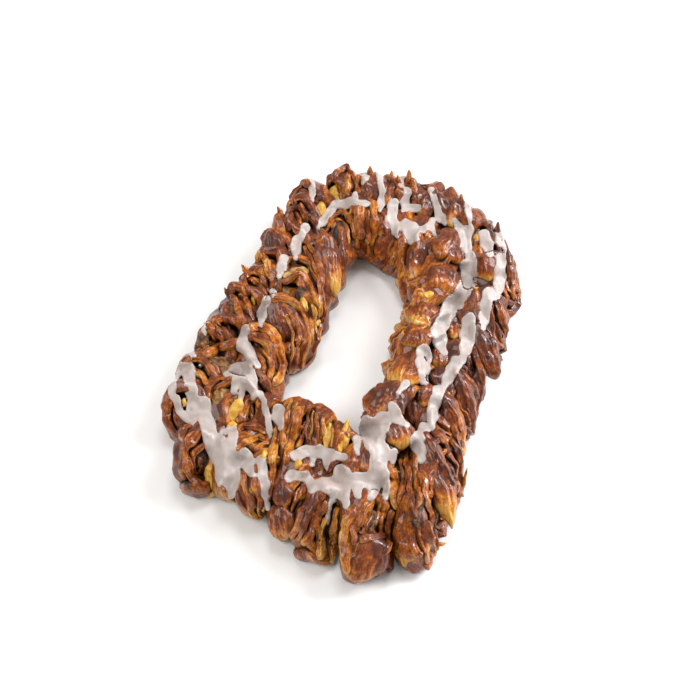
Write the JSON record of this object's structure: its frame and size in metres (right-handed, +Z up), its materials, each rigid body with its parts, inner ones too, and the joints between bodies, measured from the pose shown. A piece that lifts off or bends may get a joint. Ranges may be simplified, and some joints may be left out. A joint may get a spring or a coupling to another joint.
{
  "type": "cinnamon wreath",
  "caption": "Oblong ring of rolled cinnamon dough slices pulled in and out in two rows, baked glossy brown, with two lines of white icing.",
  "frame": {"origin": "middle of the wreath's box in plan, on the flat underside that rests on the table", "axes": "+Z up, +Y along the wreath's long way, +X across it"},
  "size_m": [0.2669, 0.4022, 0.0632],
  "materials": {
    "baked_crust": null,
    "icing": "set sugar icing, slightly translucent"
  },
  "bodies": {
    "root": {"cinnamon_wreath": "baked_crust"}
  },
  "joints": []
}
